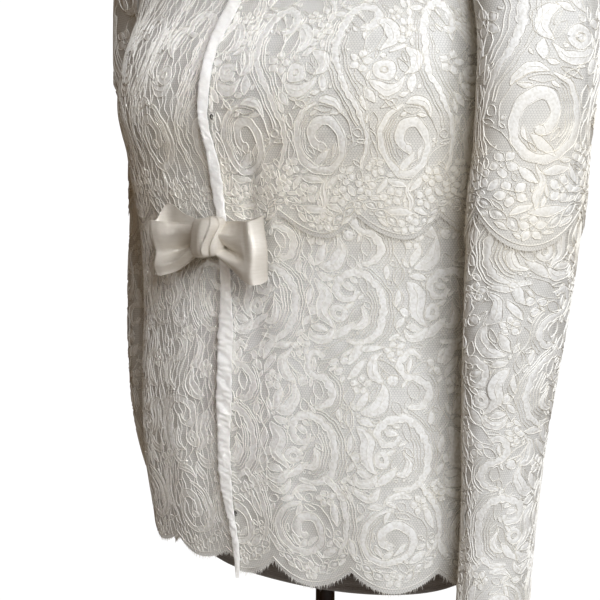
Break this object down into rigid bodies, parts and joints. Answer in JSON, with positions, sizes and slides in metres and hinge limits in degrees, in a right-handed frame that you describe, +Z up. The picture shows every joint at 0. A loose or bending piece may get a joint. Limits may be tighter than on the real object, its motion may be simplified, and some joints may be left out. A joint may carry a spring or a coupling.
{
  "type": "lace jacket on a dress form",
  "caption": "Long-sleeved ivory lace jacket with scalloped hem, waist and elbow edges, satin front binding and bow, worn by a limbless dress form on a pole stand.",
  "frame": {"origin": "on the floor, at the middle of the base's underside, under the pole", "axes": "+Z up, the jacket's front faces -Y, +X is the wearer's left"},
  "size_m": [0.5109, 0.34, 1.3203],
  "materials": {
    "ivory_lace": "corded lace",
    "grey_lining": "satin lining",
    "ivory_satin": "satin",
    "taupe_jersey": "jersey",
    "dark_wood": "satin varnish",
    "black_metal": "semi-gloss"
  },
  "bodies": {
    "root": {"lining_front_left": "grey_lining", "lining_front_right": "grey_lining", "lining_back": "grey_lining", "lining_sleeve_left": "grey_lining", "lining_sleeve_right": "grey_lining", "lower_lace_front_left": "ivory_lace", "lower_lace_front_right": "ivory_lace", "lower_lace_back": "ivory_lace", "lower_lace_sleeve_left": "ivory_lace", "lower_lace_sleeve_right": "ivory_lace", "upper_lace_front_left": "ivory_lace", "upper_lace_front_right": "ivory_lace", "upper_lace_back": "ivory_lace", "upper_lace_sleeve_left": "ivory_lace", "upper_lace_sleeve_right": "ivory_lace", "front_binding": "ivory_satin", "neck_binding": "ivory_satin", "bow_loop_left": "ivory_satin", "bow_loop_right": "ivory_satin", "bow_knot": "ivory_satin", "form_torso": "taupe_jersey", "neck_cap": "dark_wood", "stand_pole": "black_metal", "stand_base": "black_metal"}
  },
  "joints": []
}
